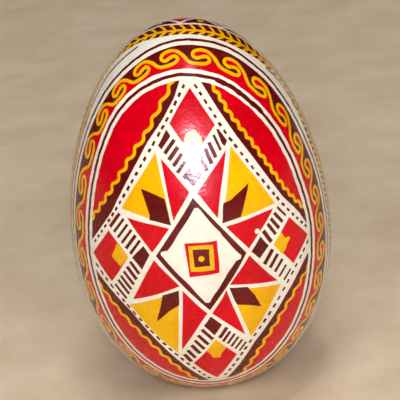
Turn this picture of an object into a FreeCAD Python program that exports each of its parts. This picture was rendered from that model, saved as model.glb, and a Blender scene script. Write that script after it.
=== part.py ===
"""A blown goose egg, varnished: nested egg-shaped skins around an empty middle.

The egg stands along +Z with its narrow end up. Its blunt pole is at the origin,
where one round blow hole goes through every skin. All sizes are in millimetres.
"""

import FreeCAD, Part

import os

import Sketcher

V = FreeCAD.Vector

# Each driving size: alias, value, meaning.
SIZES = [
    ("egg_length", 86.0, "blunt pole to narrow tip, over the varnish"),
    ("egg_width", 58.6, "greatest breadth, over the varnish"),
    ("widest_level", 37.6, "height of the greatest breadth above the blunt pole"),
    ("tip_flank", 0.483, "how far the side runs on before it turns to the tip"),
    ("tip_roundness", 0.589, "breadth of the turn over the narrow tip"),
    ("blunt_flank", 0.682, "how far the side runs on before it turns under"),
    ("blunt_roundness", 0.502, "breadth of the turn under the blunt end"),
    ("varnish_film", 0.05, "thickness of the varnish coat"),
    ("shell_wall", 0.55, "thickness of the shell"),
    ("outer_lining", 0.09, "thickness of the outer shell membrane"),
    ("inner_lining", 0.06, "thickness of the inner shell membrane"),
    ("air_cell_depth", 7.0, "gap between the two membranes at the blunt pole"),
    ("blow_hole_radius", 1.6, "radius of the hole the egg was emptied through"),
]

# How deep each boundary lies under the varnished outside.
OUTSIDE = "0"
SHELL_TOP = "sizes.varnish_film"
SHELL_BACK = f"({SHELL_TOP} + sizes.shell_wall)"
OUTER_LINING_BACK = f"({SHELL_BACK} + sizes.outer_lining)"
INNER_LINING_BACK = f"({OUTER_LINING_BACK} + sizes.inner_lining)"
NO_LIFT = "0"

# Each skin: label, depth of its outer face, depth of its inner face, lift of its blunt end.
SKINS = [
    ("varnish_coat", OUTSIDE, SHELL_TOP, NO_LIFT),
    ("eggshell", SHELL_TOP, SHELL_BACK, NO_LIFT),
    ("outer_membrane", SHELL_BACK, OUTER_LINING_BACK, NO_LIFT),
    ("inner_membrane", OUTER_LINING_BACK, INNER_LINING_BACK, "sizes.air_cell_depth"),
]

AXIS = -2        # a sketch's vertical axis
ORIGIN = -1      # a sketch's origin, as an element
START = 1        # the start of a curve, and the origin's own point
END = 2
CENTRE = 3


def add_sheet(doc):
    """Write the driving sizes into a spreadsheet, one alias to a row."""
    sheet = doc.addObject("Spreadsheet::Sheet", "sizes")
    for row, (alias, value, meaning) in enumerate(SIZES, start=1):
        sheet.set(f"A{row}", alias)
        sheet.set(f"B{row}", str(value))
        sheet.set(f"C{row}", meaning)
        sheet.setAlias(f"B{row}", alias)
    doc.recompute()
    return sheet


def add_sketch(body, name, plane_role):
    """Attach an empty sketch to one of the body's own origin planes."""
    sketch = body.newObject("Sketcher::SketchObject", name)
    planes = [item for item in body.Origin.OriginFeatures if item.Role == plane_role]
    sketch.AttachmentSupport = [(planes[0], "")]
    sketch.MapMode = "FlatFace"
    return sketch


def bind(sketch, index, name, expression):
    """Name a dimension of the sketch and tie it to the sheet."""
    sketch.renameConstraint(index, name)
    sketch.setExpression(f"Constraints.{name}", expression)


def add_quarter(sketch, rough_poles):
    """Draw one cubic arc with its four control points, and give the indices of both."""
    curve = Part.BSplineCurve()
    curve.buildFromPolesMultsKnots(rough_poles, [4, 4], [0.0, 1.0], False, 3)
    arc = sketch.addGeometry(curve, False)
    poles = []
    for place, pole in enumerate(rough_poles):
        handle = sketch.addGeometry(Part.Circle(pole, V(0, 0, 1), 1.0), True)
        sketch.addConstraint(Sketcher.Constraint("Weight", handle, 1.0))
        sketch.addConstraint(
            Sketcher.Constraint("InternalAlignment:Sketcher::BSplineControlPoint", handle, CENTRE, arc, place)
        )
        poles.append(handle)
    return arc, poles


def across(sketch, point, name, expression, rough):
    """Set how far a control point is from the egg's axis."""
    dimension = Sketcher.Constraint("DistanceX", ORIGIN, START, point, CENTRE, rough)
    bind(sketch, sketch.addConstraint(dimension), name, expression)


def height(sketch, point, name, expression, rough):
    """Set how high a control point is above the blunt pole."""
    dimension = Sketcher.Constraint("DistanceY", ORIGIN, START, point, CENTRE, rough)
    bind(sketch, sketch.addConstraint(dimension), name, expression)


def add_egg_line(sketch, face, depth, lift):
    """Draw half of an egg's outline at a depth under the varnished outside.

    Two cubic arcs meet at the widest level, with upright tangents there and level
    tangents on the axis. Gives the indices of the upper and the lower arc.
    """
    radius = f"(sizes.egg_width / 2 - {depth})"
    top = f"(sizes.egg_length - {depth})"
    bottom = f"({depth} + {lift})"
    level = "sizes.widest_level"
    side, mid, tip = 29.0, 37.0, 85.0

    upper, poles = add_quarter(sketch, [V(side, mid, 0), V(side, mid + 20, 0), V(side / 2, tip, 0), V(0, tip, 0)])
    widest, flank, turn, pole = poles
    across(sketch, widest, f"{face}_radius", radius, side)
    height(sketch, widest, f"{face}_level", level, mid)
    sketch.addConstraint(Sketcher.Constraint("Vertical", widest, CENTRE, flank, CENTRE))
    height(sketch, flank, f"{face}_tip_flank", f"{level} + ({top} - {level}) * sizes.tip_flank", mid + 20)
    across(sketch, turn, f"{face}_tip_turn", f"{radius} * sizes.tip_roundness", side / 2)
    sketch.addConstraint(Sketcher.Constraint("Horizontal", turn, CENTRE, pole, CENTRE))
    sketch.addConstraint(Sketcher.Constraint("PointOnObject", pole, CENTRE, AXIS))
    height(sketch, pole, f"{face}_top", top, tip)

    lower, poles = add_quarter(sketch, [V(side, mid, 0), V(side, mid - 25, 0), V(side / 2, 1, 0), V(0, 1, 0)])
    start, flank, turn, pole = poles
    sketch.addConstraint(Sketcher.Constraint("Coincident", start, CENTRE, widest, CENTRE))
    sketch.addConstraint(Sketcher.Constraint("Vertical", widest, CENTRE, flank, CENTRE))
    height(sketch, flank, f"{face}_blunt_flank", f"{level} - ({level} - {depth}) * sizes.blunt_flank", mid - 25)
    across(sketch, turn, f"{face}_blunt_turn", f"{radius} * sizes.blunt_roundness", side / 2)
    sketch.addConstraint(Sketcher.Constraint("Horizontal", turn, CENTRE, pole, CENTRE))
    sketch.addConstraint(Sketcher.Constraint("PointOnObject", pole, CENTRE, AXIS))
    height(sketch, pole, f"{face}_bottom", bottom, 1.0)
    return upper, lower


def close_on_axis(sketch, first, second):
    """Join the ends of two arcs by a straight line along the axis."""
    line = sketch.addGeometry(Part.LineSegment(V(0, 1, 0), V(0, 2, 0)), False)
    sketch.addConstraint(Sketcher.Constraint("Coincident", line, START, first, END))
    sketch.addConstraint(Sketcher.Constraint("Coincident", line, END, second, END))


def add_skin(doc, label, outer_depth, inner_depth, lift):
    """Build one closed skin of the egg, pierced by the blow hole at its blunt end."""
    body = doc.addObject("PartDesign::Body", label)
    body.Label = label

    section = add_sketch(body, f"{label}_section", "XZ_Plane")
    outer_upper, outer_lower = add_egg_line(section, "outer", outer_depth, lift)
    inner_upper, inner_lower = add_egg_line(section, "inner", inner_depth, lift)
    close_on_axis(section, outer_upper, inner_upper)
    close_on_axis(section, outer_lower, inner_lower)

    skin = body.newObject("PartDesign::Revolution", f"{label}_skin")
    skin.Profile = section
    skin.ReferenceAxis = (section, ["V_Axis"])
    skin.Angle = 360.0
    doc.recompute()

    ring = add_sketch(body, f"{label}_hole_ring", "XY_Plane")
    circle = ring.addGeometry(Part.Circle(V(0, 0, 0), V(0, 0, 1), 1.0), False)
    ring.addConstraint(Sketcher.Constraint("Coincident", circle, CENTRE, ORIGIN, START))
    radius = ring.addConstraint(Sketcher.Constraint("Radius", circle, 1.0))
    bind(ring, radius, "hole", "sizes.blow_hole_radius")

    hole = body.newObject("PartDesign::Pocket", f"{label}_blow_hole")
    hole.Profile = ring
    hole.Type = "Length"
    hole.setExpression("Length", "sizes.widest_level")
    hole.Reversed = True
    body.Tip = hole
    body.Placement = FreeCAD.Placement(V(0, 0, 0), FreeCAD.Rotation())
    doc.recompute()
    if not hole.Shape.Volume < skin.Shape.Volume:
        raise RuntimeError(f"{label}: the blow hole cuts nothing")
    return body


def check(doc, bodies):
    """Stop if any object of the document failed or any skin is not one valid solid."""
    for item in doc.Objects:
        if {"Invalid", "Error"} & set(item.State):
            raise RuntimeError(f"{item.Name} failed: {item.State}")
    for body in bodies:
        shape = body.Shape
        if shape.isNull() or not shape.isValid() or len(shape.Solids) != 1:
            raise RuntimeError(f"{body.Label} is not one valid solid")


def main():
    """Build every skin, check them all, then write one STEP file for each."""
    doc = FreeCAD.newDocument("decorated_egg")
    add_sheet(doc)
    bodies = [add_skin(doc, *skin) for skin in SKINS]
    doc.recompute()
    check(doc, bodies)

    os.makedirs("parts", exist_ok=True)
    for body in bodies:
        body.Shape.exportStep(f"parts/{body.Label}.step")
        box = body.Shape.BoundBox
        print(
            f"{body.Label}: {body.Shape.Volume:.1f} mm3,"
            f" {box.XLength:.2f} x {box.YLength:.2f} x {box.ZLength:.2f} mm, foot at {box.ZMin:.3f}"
        )


main()
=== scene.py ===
"""A pysanka: a blown goose egg, written in wax, dyed in three baths and varnished.

The egg stands on its blunt end. One big oval medallion covers its front and a
sister medallion covers its back. A band of wheat and a band of teeth run round
between them.
Every drawing is made flat, in millimetres on a face's own sheet, and is then
laid onto the egg: u runs to the right, v runs up, and the distance of a point
from the sheet's middle is its distance along the shell from the middle of the
face. The wax lines, the yellow, the red and the brown are four inlays of
varnished dye that share their edges.
"""

import logging
import math
import random
from dataclasses import dataclass, field
from enum import Enum
from typing import Callable, Sequence

import bpy
import numpy as np
from mathutils import Matrix, Vector, geometry, kdtree


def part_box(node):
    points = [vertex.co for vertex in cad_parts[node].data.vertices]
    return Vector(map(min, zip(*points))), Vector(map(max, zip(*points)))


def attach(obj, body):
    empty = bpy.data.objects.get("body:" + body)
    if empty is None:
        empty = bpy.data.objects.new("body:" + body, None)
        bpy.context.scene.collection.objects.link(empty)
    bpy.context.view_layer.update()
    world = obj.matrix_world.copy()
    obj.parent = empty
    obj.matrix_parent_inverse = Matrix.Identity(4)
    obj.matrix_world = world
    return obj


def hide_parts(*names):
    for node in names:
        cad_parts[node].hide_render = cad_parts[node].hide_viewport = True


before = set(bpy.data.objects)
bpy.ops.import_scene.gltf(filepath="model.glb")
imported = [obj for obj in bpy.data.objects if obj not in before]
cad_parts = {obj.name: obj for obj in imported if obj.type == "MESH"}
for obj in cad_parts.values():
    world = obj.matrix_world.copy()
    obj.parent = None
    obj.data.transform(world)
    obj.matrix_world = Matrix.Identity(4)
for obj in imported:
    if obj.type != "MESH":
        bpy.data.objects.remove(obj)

LOG = logging.getLogger("pysanka")

MM = 0.001
BODY = "root"
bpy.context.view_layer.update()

# Both faces walk the seam between them with this many places, so that their meshes meet.
SEAM_PLACES = 360

Point = tuple[float, float]
Path = list[Point]
Colour = tuple[float, float, float]


class Dye(Enum):
    """A colour of the egg. Its value is the record's slot for it."""

    WHITE = "undyed_white"
    YELLOW = "yellow_dye"
    RED = "red_dye"
    BROWN = "brown_dye"


class Face(Enum):
    """A side of the egg. Its value turns the front sheet round the upright axis."""

    FRONT = 1.0
    BACK = -1.0


# --------------------------------------------------------------------------
# Finishes
# --------------------------------------------------------------------------


def linear(red: int, green: int, blue: int) -> Colour:
    """Turn a colour as the eye names it, 0 to 255, into scene-linear values.

    Args:
        red: Red, 0 to 255.
        green: Green, 0 to 255.
        blue: Blue, 0 to 255.

    Returns:
        The three linear values.
    """
    values = [channel / 255.0 for channel in (red, green, blue)]
    return tuple(c / 12.92 if c <= 0.04045 else ((c + 0.055) / 1.055) ** 2.4 for c in values)


# Most of a noise's values lie between these two.
NOISE_LOW, NOISE_HIGH = 0.3, 0.7


class NodeBench:
    """Lays out the nodes of one material."""

    def __init__(self, name: str) -> None:
        """Start a material.

        Args:
            name: The finish's name.
        """
        self.material = bpy.data.materials.new(name)
        self.material.use_nodes = True
        self.nodes = self.material.node_tree.nodes
        self.links = self.material.node_tree.links
        self.shader = self.nodes["Principled BSDF"]
        self.place = self.nodes.new("ShaderNodeTexCoord").outputs["Object"]

    def noise(self, size: float, detail: float = 2.0, rough: float = 0.5) -> bpy.types.NodeSocket:
        """Add a noise whose patches are about one size.

        Args:
            size: The size of a patch in millimetres.
            detail: How many finer layers it has.
            rough: How strong the finer layers are.

        Returns:
            The noise's value.
        """
        node = self.nodes.new("ShaderNodeTexNoise")
        node.inputs["Scale"].default_value = 1.0 / (size * MM)
        node.inputs["Detail"].default_value = detail
        node.inputs["Roughness"].default_value = rough
        self.links.new(self.place, node.inputs["Vector"])
        return node.outputs["Fac"]

    def pores(self, size: float) -> bpy.types.NodeSocket:
        """Add the distance to the nearest of many scattered pores.

        Args:
            size: The pores' spacing in millimetres.

        Returns:
            The distance, 0 at a pore's middle.
        """
        node = self.nodes.new("ShaderNodeTexVoronoi")
        node.inputs["Scale"].default_value = 1.0 / (size * MM)
        self.links.new(self.place, node.inputs["Vector"])
        return node.outputs["Distance"]

    def nearness(self) -> bpy.types.NodeSocket:
        """Add how near a point is to the egg's foot.

        Returns:
            The nearness, 1 at the foot and 0 from a metre away.
        """
        node = self.nodes.new("ShaderNodeTexGradient")
        node.gradient_type = "SPHERICAL"
        self.links.new(self.place, node.inputs["Vector"])
        return node.outputs["Fac"]

    def ramp(self, value: bpy.types.NodeSocket, first: Colour, last: Colour,
             low: float, high: float) -> bpy.types.NodeSocket:
        """Turn a value into a colour between two.

        Args:
            value: The value to read.
            first: The colour at the low end.
            last: The colour at the high end.
            low: The value that gives the first colour.
            high: The value that gives the last colour.

        Returns:
            The colour.
        """
        node = self.nodes.new("ShaderNodeValToRGB")
        start, end = node.color_ramp.elements
        start.position, end.position = low, high
        start.color, end.color = (*first, 1.0), (*last, 1.0)
        self.links.new(value, node.inputs["Fac"])
        return node.outputs["Color"]

    def blend(self, share: bpy.types.NodeSocket, first: bpy.types.NodeSocket,
              last: Colour) -> bpy.types.NodeSocket:
        """Lay one colour over another by a share.

        Args:
            share: How much of the last colour shows, 0 to 1.
            first: The colour underneath.
            last: The colour on top.

        Returns:
            The mixed colour.
        """
        node = self.nodes.new("ShaderNodeMix")
        node.data_type = "RGBA"
        self.links.new(share, node.inputs["Factor"])
        self.links.new(first, node.inputs["A"])
        node.inputs["B"].default_value = (*last, 1.0)
        return node.outputs["Result"]

    def span(self, value: bpy.types.NodeSocket, first: float, last: float,
             low: float = NOISE_LOW, high: float = NOISE_HIGH) -> bpy.types.NodeSocket:
        """Stretch a value from one range to another, and hold it there.

        Args:
            value: The value to read.
            first: What the low end becomes.
            last: What the high end becomes.
            low: The low end of the range read.
            high: The high end of the range read.

        Returns:
            The stretched value.
        """
        node = self.nodes.new("ShaderNodeMapRange")
        self.links.new(value, node.inputs["Value"])
        ends = {"From Min": low, "From Max": high, "To Min": first, "To Max": last}
        for name, number in ends.items():
            node.inputs[name].default_value = number
        return node.outputs["Result"]

    def bump(self, height: bpy.types.NodeSocket, depth: float,
             under: bpy.types.NodeSocket | None = None) -> bpy.types.NodeSocket:
        """Raise the surface by a height.

        Args:
            height: The height, 0 to 1.
            depth: What a height of 1 stands proud, in millimetres.
            under: A bump to add this one to.

        Returns:
            The bent normal.
        """
        node = self.nodes.new("ShaderNodeBump")
        node.inputs["Distance"].default_value = depth * MM
        self.links.new(height, node.inputs["Height"])
        if under is not None:
            self.links.new(under, node.inputs["Normal"])
        return node.outputs["Normal"]

    def plug(self, socket: str, value: bpy.types.NodeSocket) -> None:
        """Feed one of the shader's sockets."""
        self.links.new(value, self.shader.inputs[socket])

    def hold(self, socket: str, number: float) -> None:
        """Set one of the shader's sockets to a fixed number."""
        self.shader.inputs[socket].default_value = number


@dataclass(frozen=True)
class DyedFinish:
    """Dye on a goose shell under a coat of clear varnish."""

    dye: Dye
    deep: Colour
    fresh: Colour
    stain: Colour
    stain_share: float
    cloud: float = 9.0
    grain: float = 0.55
    grain_depth: float = 0.04
    swell: float = 2.6
    swell_depth: float = 0.035
    pore_spacing: float = 1.5
    pore_depth: float = 0.006
    dull_patch: float = 1.8
    dullness: tuple[float, float] = (0.22, 0.3)
    sheen_under_varnish: float = 0.13
    varnish_roughness: float = 0.15
    varnish_index: float = 1.27

    def material(self) -> bpy.types.Material:
        """Mix the finish.

        Returns:
            The material.
        """
        bench = NodeBench(self.dye.value)
        cloud = bench.noise(self.cloud, detail=4.0, rough=0.62)
        base = bench.ramp(cloud, self.deep, self.fresh, low=0.34, high=0.66)
        specks = bench.noise(self.grain, detail=3.0, rough=0.7)
        stained = bench.blend(bench.span(specks, 0.0, self.stain_share, low=0.5, high=0.72), base, self.stain)
        pore = bench.pores(self.pore_spacing)
        pore_stain = bench.span(pore, self.stain_share, 0.0, low=0.05, high=0.16)
        bench.plug("Base Color", bench.blend(pore_stain, stained, self.stain))
        bench.plug("Roughness", bench.span(bench.noise(self.dull_patch, detail=3.0), *self.dullness))
        swell = bench.bump(bench.noise(self.swell, detail=1.0), self.swell_depth)
        peel = bench.bump(bench.noise(self.grain), self.grain_depth, swell)
        pitted = bench.bump(bench.span(pore, 0.0, 1.0, low=0.0, high=0.2), self.pore_depth, peel)
        bench.plug("Normal", pitted)
        bench.plug("Coat Normal", peel)
        bench.hold("Specular IOR Level", self.sheen_under_varnish)
        bench.hold("Coat Weight", 1.0)
        bench.hold("Coat Roughness", self.varnish_roughness)
        bench.hold("Coat IOR", self.varnish_index)
        return bench.material


@dataclass(frozen=True)
class BareShellFinish:
    """Unvarnished goose shell, as it shows in the hole's wall and from inside."""

    chalk: Colour = linear(236, 226, 208)
    shade: Colour = linear(214, 198, 172)
    cloud: float = 1.2
    grain: float = 0.5
    crystal: float = 0.18
    wave: float = 0.9
    depth: float = 0.02
    dullness: tuple[float, float] = (0.68, 0.86)

    def material(self) -> bpy.types.Material:
        """Mix the finish.

        Returns:
            The material.
        """
        bench = NodeBench("bare_shell")
        cloud = bench.noise(self.cloud, detail=4.0, rough=0.65)
        bench.plug("Base Color", bench.ramp(cloud, self.shade, self.chalk, low=0.35, high=0.65))
        bench.plug("Roughness", bench.span(bench.noise(self.grain), *self.dullness))
        crystal = bench.bump(bench.pores(self.crystal), self.depth)
        bench.plug("Normal", bench.bump(bench.noise(self.wave, detail=3.0), self.depth, crystal))
        return bench.material


@dataclass(frozen=True)
class MembraneFinish:
    """A dry shell membrane, like parchment."""

    name: str
    pale: Colour
    aged: Colour
    cloud: float = 6.0
    grain: float = 0.7
    fibre: float = 0.16
    fibre_depth: float = 0.02
    cockle: float = 3.0
    cockle_depth: float = 0.08
    dullness: tuple[float, float] = (0.5, 0.72)

    def material(self) -> bpy.types.Material:
        """Mix the finish.

        Returns:
            The material.
        """
        bench = NodeBench(self.name)
        cloud = bench.noise(self.cloud, detail=5.0, rough=0.6)
        bench.plug("Base Color", bench.ramp(cloud, self.aged, self.pale, low=0.32, high=0.68))
        bench.plug("Roughness", bench.span(bench.noise(self.grain), *self.dullness))
        fibre = bench.bump(bench.noise(self.fibre, detail=4.0, rough=0.7), self.fibre_depth)
        bench.plug("Normal", bench.bump(bench.noise(self.cockle), self.cockle_depth, fibre))
        return bench.material


# The pale air of the room. Far out, the cloth glows in this same colour as painted light, so that it meets
# the air.
AIR = linear(196, 184, 164)


@dataclass(frozen=True)
class ClothFinish:
    """The pale, matt cloth on the table, which far out glows with painted light in the room's air colour."""

    light: Colour = linear(230, 210, 183)
    dark: Colour = linear(212, 189, 159)
    cloud: float = 22.0
    grain: float = 2.0
    weave: float = 0.8
    weave_depth: float = 0.12
    dullness: tuple[float, float] = (0.85, 0.95)
    sheen: float = 0.2
    glow_span: tuple[float, float] = (0.05, 0.45)

    def material(self) -> bpy.types.Material:
        """Mix the finish.

        Returns:
            The material.
        """
        bench = NodeBench("table_cloth")
        cloud = bench.noise(self.cloud, detail=5.0, rough=0.6)
        bench.plug("Base Color", bench.ramp(cloud, self.dark, self.light, low=NOISE_LOW, high=NOISE_HIGH))
        bench.plug("Roughness", bench.span(bench.noise(self.grain), *self.dullness))
        bench.plug("Normal", bench.bump(bench.noise(self.weave, detail=3.0), self.weave_depth))
        bench.hold("Specular IOR Level", self.sheen)
        # Painted light: from about 0.55 m out the cloth glows in the air's colour, at full strength by 0.95
        # m, so that it meets the backdrop.
        bench.shader.inputs["Emission Color"].default_value = (*AIR, 1.0)
        far_out, near = self.glow_span
        bench.plug("Emission Strength", bench.span(bench.nearness(), 1.0, 0.0, low=far_out, high=near))
        return bench.material


FINISHES = (
    DyedFinish(Dye.WHITE, deep=linear(241, 232, 214), fresh=linear(253, 249, 240),
               stain=linear(226, 206, 170), stain_share=0.30),
    DyedFinish(Dye.YELLOW, deep=linear(243, 170, 2), fresh=linear(251, 199, 4),
               stain=linear(228, 134, 2), stain_share=0.35),
    DyedFinish(Dye.RED, deep=linear(202, 0, 18), fresh=linear(226, 0, 28),
               stain=linear(172, 0, 16), stain_share=0.30),
    DyedFinish(Dye.BROWN, deep=linear(88, 14, 12), fresh=linear(116, 20, 20),
               stain=linear(62, 10, 8), stain_share=0.40),
)


# --------------------------------------------------------------------------
# The egg's form
# --------------------------------------------------------------------------


def cubic(ends: Sequence[Point], steps: int) -> np.ndarray:
    """Sample a cubic curve.

    Args:
        ends: Its four control points.
        steps: How many samples.

    Returns:
        The samples, their slopes beside them.
    """
    way = np.linspace(0.0, 1.0, steps)[:, None]
    back = 1.0 - way
    a, b, c, d = (np.array(end) for end in ends)
    places = back**3 * a + 3 * back**2 * way * b + 3 * back * way**2 * c + way**3 * d
    slopes = 3 * back**2 * (b - a) + 6 * back * way * (c - b) + 3 * way**2 * (d - c)
    return np.hstack([places, slopes])


@dataclass
class EggForm:
    """The varnished outside of the egg, turned about the upright axis, in millimetres."""

    length: float
    breadth: float
    film: float
    widest_level: float = 37.6
    tip_flank: float = 0.483
    tip_roundness: float = 0.589
    blunt_flank: float = 0.682
    blunt_roundness: float = 0.502
    hole_radius: float = 1.6
    samples: int = 4000
    bearings: int = 720
    steps: int = 1500
    halvings: int = 60

    def __post_init__(self) -> None:
        """Work out the outline and the lengths along the shell."""
        half, wide = self.breadth / 2.0, self.widest_level
        rise = self.length - wide
        lower = cubic([(half, wide), (half, wide - wide * self.blunt_flank),
                       (half * self.blunt_roundness, 0.0), (0.0, 0.0)], self.samples)[::-1]
        upper = cubic([(half, wide), (half, wide + rise * self.tip_flank),
                       (half * self.tip_roundness, self.length), (0.0, self.length)], self.samples)
        samples = np.vstack([lower, upper[1:]])
        self.middle = self.length / 2.0
        self.level = samples[:, 1]
        self.square = samples[:, 0] ** 2
        self.lean = np.zeros(len(samples))
        inner = slice(1, -1)
        self.lean[inner] = samples[inner, 0] * samples[inner, 2] / samples[inner, 3]
        self.lean[0], self.lean[-1] = self.lean[1], self.lean[-2]
        self._measure()

    def _measure(self) -> None:
        """Measure each section through the middle of a face, from there to the rim."""
        self.turns = np.linspace(0.0, math.tau, self.bearings + 1)
        cos, sin = np.cos(self.turns), np.sin(self.turns)
        low, high = np.zeros_like(cos), np.full_like(cos, self.length)
        for _ in range(self.halvings):
            half = (low + high) / 2.0
            level = self.middle + half * sin
            inside = (np.interp(level, self.level, self.square) > (half * cos) ** 2)
            inside &= (level > 0.0) & (level < self.length)
            low, high = np.where(inside, half, low), np.where(inside, high, half)
        self.reach = low
        self.swing = np.linspace(0.0, math.pi / 2.0, self.steps)
        out = self.reach[:, None] * np.sin(self.swing)[None, :]
        level = self.middle + out * sin[:, None]
        depth = np.interp(level, self.level, self.square) - (out * cos[:, None]) ** 2
        depth = np.sqrt(np.clip(depth, 0.0, None))
        depth[:, -1] = 0.0
        pieces = np.hypot(np.diff(out, axis=1), np.diff(depth, axis=1))
        self.along = np.hstack([np.zeros((len(out), 1)), np.cumsum(pieces, axis=1)])

    def rim(self, bearing: np.ndarray) -> np.ndarray:
        """Say how far the rim between the faces lies along the shell.

        Args:
            bearing: Angles on the sheet, in radians.

        Returns:
            The distances from the middle of a face.
        """
        return np.interp(np.mod(bearing, math.tau), self.turns, self.along[:, -1])

    def _between(self, bearing: np.ndarray, read: Callable[[int, np.ndarray], np.ndarray]) -> np.ndarray:
        """Read two neighbouring sections and mix them by the bearing between.

        Args:
            bearing: Angles on the sheet.
            read: Reads one section for the points of a mask.

        Returns:
            The mixed readings.
        """
        turn = np.mod(bearing, math.tau) / math.tau * self.bearings
        first = np.floor(turn).astype(int) % self.bearings
        share = turn - np.floor(turn)
        answer = np.zeros(len(bearing))
        for section in np.unique(first):
            mask = first == section
            answer[mask] = ((1.0 - share[mask]) * read(section, mask)
                            + share[mask] * read(section + 1, mask))
        return answer

    def lay(self, sheet: np.ndarray, face: Face) -> tuple[np.ndarray, np.ndarray]:
        """Lay points of a face's sheet onto the egg.

        Args:
            sheet: The points, u and v.
            face: Which face the sheet belongs to.

        Returns:
            The places on the varnish, and the directions out of it.
        """
        bearing = np.arctan2(sheet[:, 1], sheet[:, 0])
        far = np.hypot(sheet[:, 0], sheet[:, 1])
        rim = self.rim(bearing)
        past = far > rim
        near = np.where(past, 2.0 * rim - far, far)
        swing = self._between(bearing, lambda i, m: np.interp(near[m], self.along[i], self.swing))
        reach = np.interp(np.mod(bearing, math.tau), self.turns, self.reach)
        out = reach * np.sin(swing)
        side, level = out * np.cos(bearing), self.middle + out * np.sin(bearing)
        depth = np.sqrt(np.clip(np.interp(level, self.level, self.square) - side**2, 0.0, None))
        depth = np.where(past, depth, -depth)
        turn = face.value
        places = np.column_stack([turn * side, turn * depth, level])
        slopes = np.column_stack([places[:, 0], places[:, 1], -np.interp(level, self.level, self.lean)])
        return places, slopes / np.linalg.norm(slopes, axis=1, keepdims=True)

    def flatten(self, places: np.ndarray, face: Face) -> np.ndarray:
        """Find where places on the egg lie on a face's sheet.

        Args:
            places: Places on the varnish.
            face: Which face's sheet to use.

        Returns:
            The points, u and v.
        """
        side = places[:, 0] * face.value
        rise = places[:, 2] - self.middle
        past = places[:, 1] * face.value > 0.0
        bearing = np.arctan2(rise, side)
        reach = np.interp(np.mod(bearing, math.tau), self.turns, self.reach)
        swing = np.arcsin(np.clip(np.hypot(side, rise) / reach, 0.0, 1.0))
        far = self._between(bearing, lambda i, m: np.interp(swing[m], self.swing, self.along[i]))
        far = np.where(past, 2.0 * self.rim(bearing) - far, far)
        return np.column_stack([far * np.cos(bearing), far * np.sin(bearing)])

    def hole(self, points: int = 40) -> np.ndarray:
        """Walk round the blow hole's edge at the blunt pole.

        Args:
            points: How many places.

        Returns:
            The places on the varnish.
        """
        turn = np.linspace(0.0, math.tau, points, endpoint=False)
        blunt = self.level < self.widest_level
        level = float(np.interp(self.hole_radius**2, self.square[blunt], self.level[blunt]))
        return np.column_stack([self.hole_radius * np.cos(turn), self.hole_radius * np.sin(turn),
                                np.full(points, level)])


# --------------------------------------------------------------------------
# Drawing tools
# --------------------------------------------------------------------------


def flowing(points: Sequence[Point], closed: bool = False, pace: float = 0.8) -> Path:
    """Run a smooth line through points.

    Args:
        points: The points.
        closed: Whether the line comes back to its start.
        pace: The distance between the samples.

    Returns:
        The samples.
    """
    count = len(points)
    spots = [Vector(p) for p in points]
    path: Path = []
    for i in range(count if closed else count - 1):
        if closed:
            a, b, c, d = (spots[(i + k) % count] for k in (-1, 0, 1, 2))
        else:
            b, c = spots[i], spots[i + 1]
            a = spots[i - 1] if i > 0 else 2.0 * b - c
            d = spots[i + 2] if i + 2 < count else 2.0 * c - b
        steps = max(2, round((c - b).length / pace))
        for k in range(steps):
            t = k / steps
            spot = 0.5 * (2 * b + (c - a) * t + (2 * a - 5 * b + 4 * c - d) * t**2
                          + (3 * b - a - 3 * c + d) * t**3)
            path.append((spot.x, spot.y))
    if not closed:
        path.append(tuple(spots[-1]))
    return path


def measured(path: Sequence[Point]) -> list[float]:
    """Measure how far along a path each of its points is.

    Args:
        path: The path.

    Returns:
        The distances from its start.
    """
    far = [0.0]
    for here, there in zip(path, path[1:]):
        far.append(far[-1] + math.dist(here, there))
    return far


def walk(path: Sequence[Point], far: Sequence[float], distance: float) -> tuple[Vector, Vector]:
    """Find a place along a path.

    Args:
        path: The path.
        far: Its points' distances along it.
        distance: How far to go.

    Returns:
        The place, and the direction of travel there.
    """
    i = min(max(int(np.searchsorted(far, distance)), 1), len(path) - 1)
    a, b = Vector(path[i - 1]), Vector(path[i])
    share = (distance - far[i - 1]) / max(far[i] - far[i - 1], 1e-9)
    return a.lerp(b, min(max(share, 0.0), 1.0)), (b - a).normalized()


def mix(first: Point, last: Point, share: float) -> Point:
    """Find the point a share of the way from one point to another."""
    return (first[0] + (last[0] - first[0]) * share, first[1] + (last[1] - first[1]) * share)


def anticlockwise(path: Path) -> Path:
    """Turn a closed outline so that it runs anticlockwise.

    Args:
        path: The outline.

    Returns:
        The outline, turned round if it ran clockwise.
    """
    swept = sum(a[0] * b[1] - b[0] * a[1] for a, b in zip(path, path[1:] + path[:1]))
    return path if swept > 0.0 else path[::-1]


@dataclass
class Oval:
    """A closed line round a face, drawn through a few points of the sheet."""

    points: Sequence[Point]
    follow_points: int = 90

    def __post_init__(self) -> None:
        """Turn the points into distances by bearing."""
        path = flowing(self.points, closed=True, pace=0.5)
        pairs = sorted((math.atan2(v, u) % math.tau, math.hypot(u, v)) for u, v in path)
        self.turn = np.array([pair[0] for pair in pairs])
        self.far = np.array([pair[1] for pair in pairs])

    def radius(self, bearing: float) -> float:
        """Say how far out the line is at a bearing."""
        return float(np.interp(bearing % math.tau, self.turn, self.far, period=math.tau))

    def at(self, bearing: float, out: float = 0.0) -> Point:
        """Find the point at a bearing, moved outwards by some millimetres."""
        far = self.radius(bearing) + out
        return (far * math.cos(bearing), far * math.sin(bearing))

    def path(self, out: float = 0.0, points: int = 260) -> Path:
        """Walk once round the line.

        Args:
            out: How far outside it to walk.
            points: How many points.

        Returns:
            The points, anticlockwise.
        """
        return [self.at(math.tau * k / points, out) for k in range(points)]

    def beside(self, out: float) -> "Oval":
        """Draw another oval that follows this one, some millimetres outside it."""
        return Oval(self.path(out, self.follow_points))


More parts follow.
